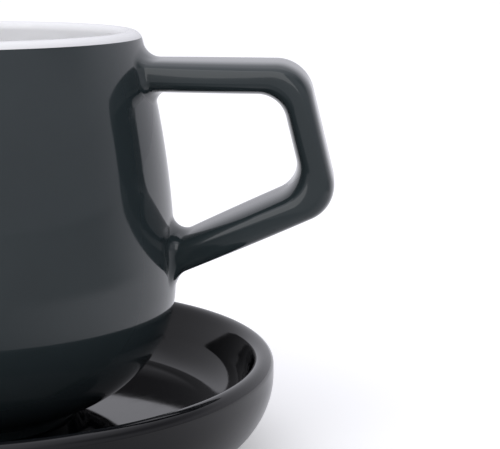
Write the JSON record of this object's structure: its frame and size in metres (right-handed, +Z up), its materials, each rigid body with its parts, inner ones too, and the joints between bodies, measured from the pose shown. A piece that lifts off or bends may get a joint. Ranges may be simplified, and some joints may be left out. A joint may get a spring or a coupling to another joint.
{
  "type": "mug with saucer",
  "caption": "Glazed ceramic mug with a convex tapering wall, angular loop handle and white inside, standing on a deep round-sided saucer.",
  "frame": {"origin": "On the table, under the middle of the object's box. The axis of cup and saucer stands 6.13 mm from it towards -X, because the handle overhangs the saucer.", "axes": "+X runs along the handle, +Z is up along the axis of cup and saucer, and +Y completes the right-handed frame."},
  "size_m": [0.1438, 0.1316, 0.089],
  "materials": {
    "slate_glaze": "glossy dark slate glaze outside, white glaze inside and over the lip",
    "charcoal_glaze": "glossy charcoal glaze, bare clay on the foot ring"
  },
  "bodies": {
    "saucer": {"saucer": "charcoal_glaze"},
    "cup": {"cup_body": "slate_glaze", "cup_handle": "slate_glaze"}
  },
  "joints": [
    {"name": "cup_lift", "type": "slide", "parent": "saucer", "child": "cup", "axis": [0, 0, 1], "range_m": [0, 0.1]}
  ]
}
